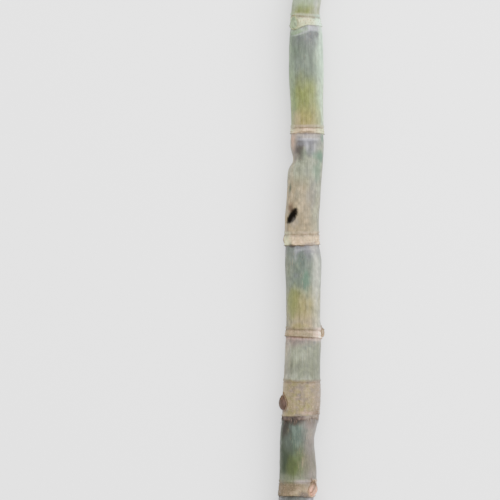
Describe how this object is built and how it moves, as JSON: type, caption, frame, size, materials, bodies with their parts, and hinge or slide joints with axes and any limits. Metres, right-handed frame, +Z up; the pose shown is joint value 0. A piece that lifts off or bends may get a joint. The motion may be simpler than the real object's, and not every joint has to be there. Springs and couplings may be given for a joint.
{
  "type": "sugarcane stalk",
  "caption": "Cut length of sugarcane lying on its side: gently zigzag waxy stalk with ringed nodes, leaf scars, root bands and pointed buds.",
  "frame": {"origin": "middle of the footprint, on the surface that the stalk lies on", "axes": "+Y along the stalk towards its growing end, +X across it, +Z up from the surface it rests on"},
  "size_m": [0.0496, 0.5814, 0.04],
  "materials": {
    "cane": "waxy grey-green rind with a dull lavender bloom, tan root bands and brown leaf scars"
  },
  "bodies": {
    "root": {"stalk": "cane"}
  },
  "joints": []
}
